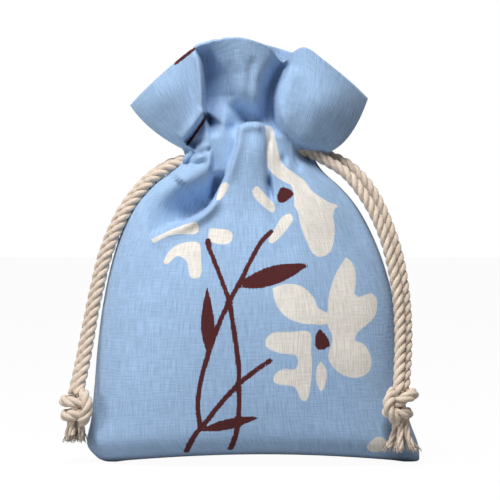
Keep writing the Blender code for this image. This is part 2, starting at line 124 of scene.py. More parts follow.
BACK_HEM = (
    (-34.0, 6.5, 105.6), (-29.0, 11.0, 110.0), (-23.4, 14.4, 114.4), (-17.4, 14.2, 118.1),
    (-13.1, 9.9, 120.8), (-8.5, 6.5, 122.4), (-2.5, 9.0, 124.8), (3.2, 13.0, 124.3),
    (8.9, 15.0, 123.0), (13.8, 11.4, 121.4), (17.0, 6.8, 119.8), (22.0, 10.5, 117.4),
    (25.9, 14.4, 114.0), (30.2, 11.5, 110.7), (34.0, 4.8, 107.7),
)
BACK_SWEEP = (
    (-28.5, 4.5, 97.0), (-24.5, 10.0, 99.5), (-20.5, 13.5, 103.0), (-15.5, 13.5, 107.0),
    (-11.5, 10.5, 109.0), (-7.0, 8.5, 110.5), (-2.0, 10.0, 111.5), (3.0, 12.5, 111.0),
    (7.5, 13.5, 110.0), (12.0, 11.0, 109.0), (15.0, 9.0, 107.5), (19.5, 11.5, 104.5),
    (23.5, 13.5, 100.5), (26.5, 10.0, 95.5), (27.5, 4.5, 91.0),
)

# Cord routes, the same as the solid tubes have
LEFT_FRONT_STRAND = (
    (-0.0142, -0.0028, 0.0893), (-0.0178, -0.0025, 0.0893), (-0.0230, -0.0026, 0.0878),
    (-0.0294, -0.0028, 0.0831), (-0.0352, -0.0031, 0.0760), (-0.0391, -0.0034, 0.0690),
    (-0.0423, -0.0037, 0.0608), (-0.0445, -0.0040, 0.0520), (-0.0462, -0.0046, 0.0440),
    (-0.0475, -0.0056, 0.0360), (-0.0488, -0.0069, 0.0285), (-0.0505, -0.0092, 0.0205),
)
LEFT_BACK_STRAND = (
    (-0.0142, 0.0028, 0.0893), (-0.0178, 0.0025, 0.0895), (-0.0234, 0.0022, 0.0882),
    (-0.0301, 0.0015, 0.0838), (-0.0361, 0.0008, 0.0768), (-0.0402, 0.0004, 0.0696),
    (-0.0434, 0.0001, 0.0612), (-0.0456, -0.0002, 0.0522), (-0.0473, -0.0007, 0.0441),
    (-0.0488, -0.0017, 0.0360), (-0.0502, -0.0030, 0.0285), (-0.0519, -0.0053, 0.0205),
)
RIGHT_FRONT_STRAND = (
    (0.0142, -0.0027, 0.0925), (0.0176, -0.0023, 0.0916), (0.0222, -0.0030, 0.0893),
    (0.0284, -0.0048, 0.0852), (0.0340, -0.0064, 0.0780), (0.0384, -0.0075, 0.0694),
    (0.0413, -0.0083, 0.0600), (0.0431, -0.0092, 0.0500), (0.0438, -0.0108, 0.0400),
    (0.0436, -0.0136, 0.0310), (0.0429, -0.0176, 0.0215),
)
RIGHT_BACK_STRAND = (
    (0.0142, 0.0027, 0.0929), (0.0178, 0.0021, 0.0925), (0.0232, 0.0014, 0.0907),
    (0.0303, -0.0001, 0.0868), (0.0363, -0.0021, 0.0796), (0.0407, -0.0037, 0.0701),
    (0.0437, -0.0049, 0.0602), (0.0453, -0.0063, 0.0500), (0.0459, -0.0080, 0.0400),
    (0.0456, -0.0108, 0.0310), (0.0447, -0.0156, 0.0215),
)
EXIT_POINT = 1  # where in each list the strand leaves the casing
CORD_LEVELS = {"left": 0.0893, "right": 0.0931}
CASING_HALF_WIDTH = 0.01305
CASING_HALF_DEPTH = 0.0063
PATH_POINTS = 28
ROPE_STEP = 0.0005

# Fold edges of the front: near width in px, then the edge's points as x and y in the photograph's
# pixels, how far the near cloth lies in front of the far cloth there (mm), and over how many px the
# far cloth comes forward again. The near cloth is on the right of the line as it is listed.
FRONT_FOLDS = (
    (2.2, ((196, 48, 3.0, 16), (203, 60, 8.0, 20), (206, 78, 11.0, 24), (207, 98, 11.5, 22),
           (208, 116, 8.5, 14), (212, 134, 6.0, 9), (215, 160, 5.0, 9), (215, 184, 4.0, 12),
           (211, 203, 1.5, 12))),
    (2.2, ((146, 235, 0.5, 20), (166, 227, 5.0, 28), (188, 218, 10.0, 30), (207, 206, 12.0, 28),
           (216, 190, 9.5, 17), (225, 172, 6.5, 11), (231, 156, 5.5, 10), (235, 141, 5.5, 10),
           (237, 128, 6.5, 11), (246, 122, 9.0, 15), (260, 122, 8.5, 13), (271, 129, 3.0, 8))),
    (5.0, ((330, 153, 2.5, 6), (314, 156, 4.0, 8), (300, 152, 5.0, 9), (289, 145, 5.5, 9),
           (280, 135, 6.5, 9), (273, 122, 9.5, 8), (270, 105, 10.5, 9), (272, 88, 10.0, 10),
           (278, 74, 8.0, 9), (286, 61, 4.5, 8))),
    (2.2, ((209, 114, 7.0, 12), (198, 129, 6.5, 12), (186, 144, 5.0, 9))),
)
# Creases: points in px, depth in mm, half width in px
FRONT_CREASES = (
    (((192, 149), (200, 142), (213, 139)), 2.6, 3.0),
    (((183, 163), (194, 164), (209, 162)), 2.8, 3.0),
    (((198, 156), (205, 152), (213, 151)), 1.6, 2.4),
    (((271, 132), (268, 150), (268, 180), (271, 201)), 1.6, 2.6),
    (((268, 176), (270, 190), (272, 202)), 2.8, 2.4),
    (((281, 166), (286, 152), (281, 139)), 2.2, 3.5),
    (((300, 172), (294, 163), (291, 150)), 1.8, 3.0),
    (((222, 128), (224, 150), (223, 176)), 0.9, 3.5),
    (((271, 200), (278, 226), (292, 256)), 0.7, 8.0),
    (((226, 62), (230, 84), (233, 104)), 0.9, 5.0),
    (((252, 58), (250, 82), (246, 106)), 0.8, 5.0),
    (((160, 240), (150, 268), (146, 300)), 0.6, 9.0),
    (((330, 182), (350, 214), (362, 250)), 0.7, 8.0),
)
# Mounds (or hollows): centre, half extents in px, turn in degrees, height in mm
FRONT_MOUNDS = (
    ((180, 184), (26, 14), 32, 2.6),
    ((254, 150), (15, 28), 0, 2.2),
    ((237, 110), (13, 10), 0, -4.6),
    ((232, 100), (9, 16), 0, -1.6),
    ((160, 96), (24, 18), 40, 1.8),
    ((324, 105), (28, 24), -30, 2.2),
    ((222, 150), (5, 26), 0, 1.2),
    ((310, 205), (30, 26), -35, 1.2),
    ((236, 300), (60, 46), 0, 0.8),
    ((150, 330), (26, 60), 0, -0.8),
    ((336, 300), (26, 70), 0, -0.6),
    ((290, 452), (120, 10), 0, -1.4),
)
# The cloth stays in front of the cords in the casing: how far out, the heights between which that
# starts and ends, and how far to the sides
CASING_FRONT = 9.1 * MM
CASING_STARTS = (83.0 * MM, 86.0 * MM)
CASING_ENDS = (95.5 * MM, 99.0 * MM)
CASING_SIDES = (12.0 * MM, 15.0 * MM)

# The print in the photograph's pixels: closed outlines of the petals and of the brown hearts, leaves
# as base, tip and width, and stems
PETALS = (
    ((272, 288), (276, 304), (286, 317), (302, 323), (326, 324), (328, 314), (318, 308), (314, 298),
     (301, 286), (285, 284)),
    ((346, 257), (354, 265), (356, 281), (355, 297), (372, 293), (377, 300), (376, 314), (370, 322),
     (359, 331), (353, 340), (364, 344), (371, 356), (370, 371), (357, 378), (343, 375), (332, 366),
     (328, 355), (333, 338), (328, 326), (328, 308), (329, 294), (336, 273)),
    ((264, 342), (272, 333), (290, 332), (310, 332), (311, 350), (312, 370), (308, 399), (300, 399),
     (295, 387), (276, 384), (273, 377), (282, 369), (296, 369), (297, 356), (279, 353), (267, 348)),
    ((321, 361), (327, 373), (322, 392), (316, 380), (317, 367)),
    ((265, 124), (273, 128), (277, 146), (282, 163), (293, 172), (305, 181), (311, 190), (322, 198),
     (333, 204), (343, 204), (333, 211), (335, 230), (331, 251), (321, 257), (313, 254), (306, 240),
     (300, 224), (298, 211), (294, 206), (294, 193), (290, 184), (282, 181), (276, 176), (268, 168),
     (267, 146)),
    ((252, 191), (257, 186), (266, 195), (275, 206), (273, 213), (264, 207), (255, 198)),
    ((290, 213), (293, 220), (282, 235), (273, 243), (268, 241), (275, 228), (282, 217)),
    ((216, 200), (221, 184), (229, 184), (225, 194), (220, 200)),
    ((150, 240), (173, 229), (194, 222), (199, 227), (196, 234), (182, 234), (168, 236), (154, 243)),
    ((210, 228), (228, 230), (233, 237), (228, 244), (214, 243), (208, 237)),
    ((163, 263), (169, 251), (182, 243), (199, 243), (201, 260), (201, 276), (190, 277), (187, 262),
     (177, 256), (168, 264)),
    ((366, 447), (376, 437), (386, 440), (384, 450), (372, 452)),
)
HEARTS = (
    ((320, 329), (326, 335), (330, 345), (321, 350), (315, 346), (316, 334)),
    ((281, 187), (287, 188), (294, 193), (288, 200), (280, 203), (277, 196)),
    ((205, 240), (209, 238), (212, 243), (208, 247)),
)
LEAVES = (
    ((237, 287), (312, 263), 19.0), ((208, 355), (207, 286), 13.5), ((199, 431), (263, 416), 10.5),
)
STEMS = (
    ((207, 243), (219, 273), (229, 301), (234, 332), (238, 359), (239, 385), (239, 412), (236, 435),
     (230, 449)),
    ((272, 231), (261, 242), (250, 262), (241, 280), (230, 300), (221, 319), (214, 337), (208, 355),
     (201, 380), (198, 403), (200, 429)),
    ((271, 360), (255, 371), (239, 384), (221, 403), (207, 421), (195, 435), (186, 452)),
    ((208, 115), (199, 128), (187, 145)),
    ((176, 63), (185, 56), (194, 49)),
)
STEM_HALF_WIDTH = 0.66 * MM
PRINT_MARGIN = 3.0 * MM  # how far from a motif its distance is still worked out
DEPTH_WEIGHT = 0.12  # how much cloth that lies further back is passed over when a pixel is looked up

# The back's print is the front's, turned upside down across the bottom fold
BACK_PRINT_SHIFT = (0.006, 0.112)

# The casing's inner wall, which is gathered round the neck's opening
LINING_HALF_WIDTH = 10.2 * MM
LINING_HALF_DEPTH = 3.7 * MM
LINING_TOP = 96.0 * MM
LINING_FOOT = 84.8 * MM
LINING_PLEATS = 15
LINING_PLEAT_DEPTH = 0.35 * MM
LINING_FLARE_SHARE = 0.28  # how much of each half of its height is turned out
LINING_FLARE = (2.4 * MM, 4.6 * MM)  # how far its ends are turned out, across and front to back
LINING_ROWS = 16
LINING_THICKNESS = 0.5 * MM
LINING_CLOTH = (0.040, 0.125, 0.050, 0.012)  # its place on the flat cloth: left, low, width, height

# Knots: each turn's centre from the knot's middle, its radii across and front to back and its tilt to
# the right; then the cord that crosses the turns in front, all in millimetres and degrees
KNOT_MIDDLE = {"left": (-51.2, -7.3, 17.2), "right": (43.8, -16.6, 18.2)}
KNOT_TURNS = {
    "left": (((0.2, 0.0, 1.1), (3.4, 3.1), -6.0), ((0.1, -0.2, -2.5), (3.0, 2.9), 5.0)),
    "right": (((0.2, 0.0, 1.6), (3.3, 3.1), 24.0), ((-1.0, -0.1, -2.3), (2.9, 2.8), -4.0)),
}
KNOT_CROSSING = {
    "left": ((2.0, -1.2, 4.2), (3.3, -3.9, 2.4), (3.7, -4.7, -0.4), (3.0, -4.2, -3.0), (1.9, -2.0, -4.6)),
    "right": ((-2.2, -1.6, 4.0), (-3.6, -4.0, 1.6), (-3.9, -4.4, -0.8), (-2.6, -3.8, -3.2),
              (-1.0, -1.6, -4.6)),
}
# Tails below the knots: top height, foot height, top radius and foot radius, in millimetres
TAILS = {"left": (13.2, 6.6, 2.5, 3.6), "right": (13.6, 4.6, 2.8, 6.2)}
TAIL_YARNS = 6
TAIL_FIBRES = 110
TAIL_POINTS = 14
YARN_DIAMETER = 2.1 * MM
YARN_LAY = 11.0 * MM
YARN_SPREAD = 0.62  # how far out the yarns end, as a share of the foot radius
FIBRE_DIAMETER = 0.22 * MM
FIBRE_LAY = 3.0 * MM
KNOT_RING_POINTS = 44
KNOT_CROSSING_POINTS = 26
STRAND_SWELL = 1.06  # how much wider each strand is than one that only touches its neighbours

# The floor: how much of what the camera sees of it is plain white, and its grey for all other rays
FLOOR_GLOW = 0.96
FLOOR_GREY = 0.42

# Each lamp's place and size, and the point that both look at
LAMPS = {"key": ((-0.10, -0.46, 0.84), 0.36), "side": ((-0.80, -0.42, 0.30), 0.36)}
LAMP_AIM = (0, 0, 0.06)


class ClothSettings(PropertyGroup):
    """The linen and its print."""

    thickness: FloatProperty(
        name="Cloth thickness", description="Thickness of the linen", default=0.0008, unit="LENGTH")
    panel_width: FloatProperty(
        name="Panel width", description="Flat width of the sewn pouch", default=0.100, unit="LENGTH")
    panel_height: FloatProperty(
        name="Panel height", description="Flat height of the sewn pouch", default=0.140, unit="LENGTH")
    linen_blue: FloatVectorProperty(
        name="Linen blue", description="Ground colour of the linen", subtype="COLOR", size=4,
        default=(0.335, 0.490, 0.715, 1.0))
    print_cream: FloatVectorProperty(
        name="Print cream", description="Colour of the printed petals", subtype="COLOR", size=4,
        default=(0.80, 0.76, 0.70, 1.0))
    print_brown: FloatVectorProperty(
        name="Print brown", description="Colour of the printed stems and leaves", subtype="COLOR",
        size=4, default=(0.085, 0.016, 0.018, 1.0))


class CordSettings(PropertyGroup):
    """The drawcords."""

    diameter: FloatProperty(
        name="Cord diameter", description="Diameter of the twisted cord", default=0.0035,
        unit="LENGTH")
    lay: FloatProperty(
        name="Lay length", description="Length of one full twist of the three strands",
        default=0.0088, unit="LENGTH")
    cotton: FloatVectorProperty(
        name="Cotton", description="Colour of the cord", subtype="COLOR", size=4,
        default=(0.72, 0.60, 0.49, 1.0))


class StageSettings(PropertyGroup):
    """The camera, lamps and floor."""

    camera_distance: FloatProperty(
        name="Camera distance", description="From the camera to the pouch", default=0.80,
        unit="LENGTH")
    camera_rise: FloatProperty(
        name="Camera rise", description="Angle at which the camera looks down",
        default=math.radians(1.0), subtype="ANGLE")
    key_power: FloatProperty(
        name="Key lamp", description="Power of the large lamp above the front", default=8.8,
        unit="POWER")
    side_power: FloatProperty(
        name="Side lamp", description="Power of the low lamp on the left", default=2.3,
        unit="POWER")
    sky_strength: FloatProperty(
        name="Sky strength", description="Strength of the even light from all round", default=0.13)


def photo_place(x, y):
    """X and Z of a pixel of the photograph."""
    return (x - PHOTO_MIDDLE_X) * METRES_PER_PIXEL, (PHOTO_FLOOR_Y - y) * METRES_PER_PIXEL


def photo_line(points):
    return np.array([photo_place(*point) for point in points])


def smooth_line(points, count):
    """Points evenly spread by their number along a smooth curve through the given ones."""
    points = np.asarray(points, dtype=float)
    last = len(points) - 1
    at = np.linspace(0.0, last, count)
    i = np.minimum(at.astype(int), last - 1)
    t = (at - i)[:, None]
    p0, p1, p2, p3 = (points[np.clip(i + k, 0, last)] for k in (-1, 0, 1, 2))
    return 0.5 * (2 * p1 + (p2 - p0) * t + (2 * p0 - 5 * p1 + 4 * p2 - p3) * t**2
                  + (3 * p1 - p0 - 3 * p2 + p3) * t**3)


def even_line(points, count):
    """Points at equal distances along a smooth curve through the given ones."""
    dense = smooth_line(points, 24 * len(points))
    along = np.concatenate([[0], np.cumsum(np.linalg.norm(np.diff(dense, axis=0), axis=1))])
    at = np.linspace(0, along[-1], count)
    return np.stack([np.interp(at, along, dense[:, k]) for k in range(dense.shape[1])], axis=1)


def smooth_step(value, start, end):
    share = np.clip((value - start) / (end - start), 0.0, 1.0)
    return share * share * (3 - 2 * share)


def line_distance(places, line):
    """Signed distance from each place to a line (positive on its right) and the share along it."""
    best = np.full(len(places), np.inf)
    sign = np.ones(len(places))
    share = np.zeros(len(places))
    lengths = np.linalg.norm(np.diff(line, axis=0), axis=1)
    before = np.concatenate([[0], np.cumsum(lengths)])
    for k, length in enumerate(lengths):
        start, way = line[k], (line[k + 1] - line[k]) / length
        offset = places - start
        along = np.clip(offset @ way, 0, length)
        gap = offset - along[:, None] * way
        distance = np.hypot(gap[:, 0], gap[:, 1])
        nearer = distance < best
        side = offset[:, 0] * way[1] - offset[:, 1] * way[0]
        best = np.where(nearer, distance, best)
        sign = np.where(nearer, np.where(side >= 0, 1.0, -1.0), sign)
        share = np.where(nearer, (before[k] + along) / before[-1], share)
    return best * sign, share


def body_section(left, right, depth, power, count):
    """Evenly spaced points of half a section, from the left seam to the right one."""
    t = -np.cos(np.linspace(0, math.pi, 241))
    pinch = 0.5 + 0.06 * (power - 2.3)
    x = (left + right) / 2 + (right - left) / 2 * t
    y = depth * np.maximum(1 - np.abs(t) ** power, 0) ** pinch
    along = np.concatenate([[0], np.cumsum(np.hypot(np.diff(x), np.diff(y)))])
    at = np.linspace(0, along[-1], count)
    return np.interp(at, along, x), np.interp(at, along, y)


def gather_offset(share, below_neck, rng):
    """How far the gathered cloth stands out: pleats of uneven width that run out below the neck."""
    offset = np.zeros(np.broadcast(share, below_neck).shape)
    for k in range(GATHER_PLEATS):
        centre = (k + 0.5 + 0.25 * (rng.random() - 0.5)) / GATHER_PLEATS
        width = 0.36 / GATHER_PLEATS * (0.8 + 0.5 * rng.random())
        height = (1.5 + 1.3 * rng.random()) * MM
        run = (9 + 16 * rng.random()) * MM
        fade = np.exp(-(np.maximum(below_neck, 0) / run) ** 1.6)
        offset += height * fade * np.exp(-((share - centre) / width) ** 2)
    return offset


def body_panel(side, rng):
    """Rows of points from the bottom fold up to the gathered line at the neck."""
    stations = smooth_line(BODY_STATIONS, BODY_ROWS + 1)
    share = np.linspace(0, 1, COLUMNS[side] + 1)
    outward = 2 * share - 1
    rows = []
    neck_height = BODY_STATIONS[-1][0] * MM
    for height, depth, left, right, power in stations:
        height = max(height, 0.0) * MM
        x, y = body_section(left * MM, right * MM, max(depth, 0.0) * MM, power, len(share))
        rows.append(np.stack([x, side * y, np.full_like(x, height)], axis=1))
    panel = np.array(rows)
    below = neck_height - panel[:, :, 2]
    tangent = np.gradient(panel, axis=1)
    normal = np.stack([-tangent[:, :, 1], tangent[:, :, 0]], axis=2) * side
    normal /= np.maximum(np.linalg.norm(normal, axis=2, keepdims=True), 1e-9)
    rise = FOLD_ARCH_SHARE + (1 - FOLD_ARCH_SHARE) * smooth_step(stations[:, 1], *FOLD_DEPTHS)
    rise *= 1 - smooth_step(panel[:, 0, 2], 0, LOWER_ARCH_HEIGHT)
    panel[:, :, 2] += LOWER_ARCH * rise[:, None] * (1 - outward**2)
    near_neck = smooth_step(-below, -NECK_RUN, 0.0)
    lift = NECK_LIFT[side] * np.exp(-(panel[:, :, 0] / NECK_LIFT_SPREAD) ** 2)
    panel[:, :, 2] += lift * near_neck
    gather = gather_offset(share[None, :], below, rng)
    seam_free = 1 - np.abs(outward[None, :]) ** 8
    panel[:, :, :2] += normal * (gather * seam_free * GATHER_SCALE[side])[:, :, None]
    return panel


def open_slits(panel, side):
    """Parts the seam edges above the slit's start, where the cords come out."""
    height = panel[:, :, 2]
    open_share = smooth_step(height, SLIT_START, SLIT_START + SLIT_RUN)
    edge = np.exp(-((np.abs(2 * np.linspace(0, 1, COLUMNS[side] + 1) - 1) - 1) / SLIT_REACH) ** 2)
    panel[:, :, 1] += side * SLIT_HALF_GAP * open_share * edge[None, :]


def ruffle_panel(neck, side):
    """Rows of points from the gathered line up to the ruffle's top edge."""
    hem = smooth_line(FRONT_HEM if side == FRONT else BACK_HEM, COLUMNS[side] + 1) * MM
    sweep = smooth_line(FRONT_SWEEP if side == FRONT else BACK_SWEEP, COLUMNS[side] + 1) * MM
    rows = []
    for r in np.linspace(0, 1, RUFFLE_ROWS + 1)[1:]:
        rows.append((1 - r) ** 2 * neck + 2 * r * (1 - r) * sweep + r * r * hem)
    return np.array(rows)


def lay_folds(points):
    """Adds the front's fold edges, creases and mounds, each seen at its place in the photograph."""
    places = points[:, (0, 2)]
    offset = np.zeros(len(points))
    for near_width, stops in FRONT_FOLDS:
        line = photo_line([stop[:2] for stop in stops])
        distance, share = line_distance(places, even_line(line, 60))
        at = stop_shares(line)
        drop = np.interp(share, at, [stop[2] for stop in stops]) * MM
        far = np.interp(share, at, [stop[3] for stop in stops]) * METRES_PER_PIXEL
        near = near_width * METRES_PER_PIXEL
        weight = smooth_step(share, 0, 0.06) * (1 - smooth_step(share, 0.94, 1.0))
        behind = np.exp(-(distance / far) ** 2)
        before = np.exp(-(distance / near) ** 2)
        offset -= drop * weight * np.where(distance < 0, behind, before)
        crest = np.exp(-((distance - 2.2 * near) / (2.5 * near)) ** 2) * (distance > 0)
        offset += 0.2 * drop * weight * crest * smooth_step(distance, 0, 2 * near)
    for line, depth, width in FRONT_CREASES:
        distance, share = line_distance(places, even_line(photo_line(line), 24))
        weight = smooth_step(share, -0.02, 0.2) * (1 - smooth_step(share, 0.8, 1.02))
        offset -= depth * MM * weight * np.exp(-(distance / (width * METRES_PER_PIXEL)) ** 2)
    for centre, extents, turn, height in FRONT_MOUNDS:
        away = places - np.array(photo_place(*centre))
        angle = math.radians(turn)
        along = (away[:, 0] * math.cos(angle) + away[:, 1] * math.sin(angle)) / extents[0]
        across = (-away[:, 0] * math.sin(angle) + away[:, 1] * math.cos(angle)) / extents[1]
        offset += height * MM * np.exp(-(along**2 + across**2) / METRES_PER_PIXEL**2)
    moved = points.copy()
    moved[:, 1] -= offset
    over_cords = smooth_step(places[:, 1], *CASING_STARTS) * (1 - smooth_step(places[:, 1], *CASING_ENDS))
    over_cords *= 1 - smooth_step(np.abs(places[:, 0]), *CASING_SIDES)
    kept = np.minimum(moved[:, 1], -CASING_FRONT)
    moved[:, 1] += (kept - moved[:, 1]) * over_cords
    return moved


def stop_shares(line):
    """The share of a line's length at which each of its points lies."""
    along = np.concatenate([[0], np.cumsum(np.linalg.norm(np.diff(line, axis=0), axis=1))])
    return along / along[-1]


def cloth_panels():
    """Both panels as rows by columns of points, seams together, with their flat cloth places."""
    rng = np.random.default_rng(11)
    panels = {}
    for side in (FRONT, BACK):
        body = body_panel(side, rng)
        open_slits(body, side)
        panels[side] = np.concatenate([body, ruffle_panel(body[-1], side)])
    front = panels[FRONT]
    panels[FRONT] = lay_folds(front.reshape(-1, 3)).reshape(front.shape)
    return panels


def flat_places(panels, settings):
    """The place of each point on the flat cut cloth: across the panel, and up from the fold."""
    flats = {}
    for side, panel in panels.items():
        columns = COLUMNS[side]
        middle = panel[:, columns // 4: 3 * columns // 4]
        steps = np.linalg.norm(np.diff(middle, axis=0), axis=2).mean(axis=1)
        up = np.concatenate([[0], np.cumsum(steps)])
        up *= settings.panel_height / up[-1]
        across = np.linspace(0, settings.panel_width, columns + 1)
        if side == BACK:
            across = across + 1.5 * settings.panel_width
        flats[side] = np.stack(np.meshgrid(across, up), axis=2)
    return flats


def cloth_indices():
    """Point numbers of both panels; they share the bottom fold and the seams below the slits."""
    rows = BODY_ROWS + RUFFLE_ROWS + 1
    front = np.arange(rows * (COLUMNS[FRONT] + 1)).reshape(rows, -1)
    back = front[:, ::2].copy()
    slit_row = int(np.argmax(smooth_line(BODY_STATIONS, BODY_ROWS + 1)[:, 0] * MM > SLIT_START))
    own = np.ones(back.shape, dtype=bool)
    own[0, :] = False
    own[:slit_row + 1, 0] = False
    own[:slit_row + 1, -1] = False
    back[own] = front.size + np.arange(own.sum())
    return {FRONT: front, BACK: back}


def cloth_faces(indices, flats, marks):
    """Faces of both panels, with the flat place and the print's distances at each corner."""
    faces, places, prints = [], [], []
    for side in (FRONT, BACK):
        numbers = indices[side]
        ring = ((0, 0), (0, 1), (1, 1), (1, 0)) if side == FRONT else ((0, 0), (1, 0), (1, 1), (0, 1))
        for row, column in np.ndindex(numbers.shape[0] - 1, numbers.shape[1] - 1):
            corners = [(row + i, column + j) for i, j in ring]
            face = [numbers[corner] for corner in corners]
            place = [flats[side][corner] for corner in corners]
            mark = [marks[side][corner] for corner in corners]
            if side == BACK and row == 0:
                face.append(indices[FRONT][0, 2 * column + 1])
                place.append((place[0] + place[-1]) / 2)
                mark.append((mark[0] + mark[-1]) / 2)
            faces.append(face)
            places.extend(place)
            prints.extend(mark)
    return faces, np.array(places), np.array(prints)


def seen_places(points, settings):
    """Where the camera sees each point, in the photograph's pixels, and how far away it is."""
    rise = settings.camera_rise
    way = np.array([0, -math.cos(rise), math.sin(rise)])
    up = np.array([0, math.sin(rise), math.cos(rise)])
    half = PHOTO_SIZE / 2
    middle = np.array([0, 0, (PHOTO_FLOOR_Y - half) * METRES_PER_PIXEL])
    away = points - (middle + way * settings.camera_distance)
    depth = -(away @ way)
    scale = settings.camera_distance / depth / METRES_PER_PIXEL
    return np.stack([half + away[..., 0] * scale, half - away @ up * scale], axis=-1), depth


def cloth_places(pixels, seen, depth, flat):
    """The flat cloth places that the camera sees at the given pixels."""
    seen_slopes = np.stack([np.gradient(seen, axis=0), np.gradient(seen, axis=1)], axis=-1)
    flat_slopes = np.stack([np.gradient(flat, axis=0), np.gradient(flat, axis=1)], axis=-1)
    found = []
    for pixel in pixels:
        gap = np.linalg.norm(seen - pixel, axis=2) * METRES_PER_PIXEL
        nearest = depth[gap < gap.min() + 0.002].min()
        at = np.unravel_index(np.argmin(gap + DEPTH_WEIGHT * (depth - nearest)), gap.shape)
        steps = np.linalg.lstsq(seen_slopes[at], pixel - seen[at], rcond=None)[0]
        found.append(flat[at] + flat_slopes[at] @ np.clip(steps, -1, 1))
    return np.array(found)


def leaf_outline(base, tip, width):
    t = np.linspace(0, 1, 12)[:, None]
    base, way = np.array(base, dtype=float), np.subtract(tip, base)
    across = np.array([-way[1], way[0]]) / np.linalg.norm(way)
    middle = base + way * t
    half = across * width / 2 * np.sin(math.pi * t**0.85)
    return np.concatenate([middle + half, (middle - half)[-2:0:-1]])


def print_shapes(seen, depth, flat):
    """The print laid on the flat cloth: petal outlines, brown outlines and stem lines."""
    def laid(line, count):
        places = cloth_places(even_line(line, count), seen, depth, flat)
        moved = np.linalg.norm(np.diff(places, axis=0), axis=1) > 1e-6
        return places[np.concatenate([[True], moved])]

    def closed(outline, count):
        return laid(np.concatenate([outline, outline[:1]]), count)

    brown = list(HEARTS) + [leaf_outline(*leaf) for leaf in LEAVES]
    return {
        "petals": [closed(outline, 48) for outline in PETALS],
        "hearts and leaves": [closed(outline, 32) for outline in brown],
        "stems": [laid(line, 30) for line in STEMS],
    }


def is_inside(places, outline):
    inside = np.zeros(len(places), dtype=bool)
    for start, end in zip(outline[:-1], outline[1:]):
        crosses = (start[1] > places[:, 1]) != (end[1] > places[:, 1])
        rise = end[1] - start[1] if end[1] != start[1] else 1.0
        at = start[0] + (places[:, 1] - start[1]) * (end[0] - start[0]) / rise
        inside ^= crosses & (places[:, 0] < at)
    return inside


def print_marks(flat, shapes):
    """Distances to the printed petals and to all that is brown, negative inside them."""
    places = flat.reshape(-1, 2)
    marks = np.full((len(places), 2), PRINT_MARGIN)
    for kind, channel in (("petals", 0), ("hearts and leaves", 1), ("stems", 1)):
        for line in shapes[kind]:
            near = np.all((places > line.min(axis=0) - PRINT_MARGIN)
                          & (places < line.max(axis=0) + PRINT_MARGIN), axis=1)
            distance = np.abs(line_distance(places[near], line)[0])
            if kind == "stems":
                distance -= STEM_HALF_WIDTH
            else:
                distance = np.where(is_inside(places[near], line), -distance, distance)
            marks[near, channel] = np.minimum(marks[near, channel], distance)
    return marks.reshape(flat.shape)


def lining_piece(linen):
    """Adds the casing's inner wall, gathered round the opening and turned out to the outer cloth."""
    columns = 8 * LINING_PLEATS
    angle = np.linspace(0, 2 * math.pi, columns, endpoint=False)
    pleat = LINING_PLEAT_DEPTH * np.cos(LINING_PLEATS * angle + 0.8 * np.sin(3 * angle))
    points = []
    for t in np.linspace(0, 1, LINING_ROWS + 1):
        flare = max(abs(2 * t - 1) - 1 + LINING_FLARE_SHARE, 0) / LINING_FLARE_SHARE
        out, deep = (reach * flare**2 for reach in LINING_FLARE)
        level = LINING_FOOT + (LINING_TOP - LINING_FOOT) * t
        across = (LINING_HALF_WIDTH + out + pleat) * np.cos(angle)
        along = (LINING_HALF_DEPTH + deep + pleat) * np.sin(angle)
        points.extend(np.stack([across, along, np.full(columns, level)], axis=1))
    faces, places = [], []
    start_x, start_y, width, height = LINING_CLOTH
    for row, column in np.ndindex(LINING_ROWS, columns):
        following = (column + 1) % columns
        first = row * columns
        faces.append((first + column, first + columns + column, first + columns + following,
                      first + following))
        left, low = start_x + width * column / columns, start_y + height * row / LINING_ROWS
        right, high = left + width / columns, low + height / LINING_ROWS
        places.extend(((left, low), (left, high), (right, high), (right, low)))
    lining = mesh_piece("casing_lining", points, faces, linen, "pouch_cloth")
    set_corner_uv(lining.data, "cloth", places)
    set_print(lining.data, np.full((len(places), 2), PRINT_MARGIN))
    add_thickness(lining, LINING_THICKNESS)
    return lining


def set_print(mesh, marks):
    for name, values in zip(("petals", "stems"), np.asarray(marks, dtype=np.float32).T):
        layer = mesh.attributes.new(name, "FLOAT", "CORNER")
        layer.data.foreach_set("value", np.ascontiguousarray(values))


def add_thickness(piece, thickness):
    wall = piece.modifiers.new("thickness", "SOLIDIFY")
    wall.thickness = thickness
    wall.offset = -1.0
    wall.use_even_offset = False


def mesh_piece(name, points, faces, material, replaced):
    """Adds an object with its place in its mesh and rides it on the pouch."""
    mesh = bpy.data.meshes.new(name)
    mesh.from_pydata([tuple(p) for p in points], [], [tuple(int(i) for i in f) for f in faces])
    mesh.update()
    mesh.shade_smooth()
    mesh.materials.append(material)
    piece = bpy.data.objects.new(name, mesh)
    bpy.context.scene.collection.objects.link(piece)
    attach(piece, "root")
    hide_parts(replaced)
    return piece


def set_corner_uv(mesh, name, values):
    layer = mesh.uv_layers.new(name=name)
    layer.data.foreach_set("uv", np.asarray(values, dtype=np.float32).ravel())


def add_node(tree, kind, values=None, **settings):
    """Adds a shader node, sets its properties, and links or sets its inputs."""
    made = tree.nodes.new(kind)
    for key, value in settings.items():
        setattr(made, key, value)
    for key, value in (values or {}).items():
        if isinstance(value, bpy.types.NodeSocket):
            tree.links.new(value, made.inputs[key])
        else:
            made.inputs[key].default_value = value
    return made


def new_material(name, colour, roughness):
    material = bpy.data.materials.new(name)
    material.use_nodes = True
    material.diffuse_color = colour
    shader = material.node_tree.nodes["Principled BSDF"]
    shader.inputs["Base Color"].default_value = colour
    shader.inputs["Roughness"].default_value = roughness
    shader.inputs["Specular IOR Level"].default_value = 0.2
    return material, material.node_tree, shader


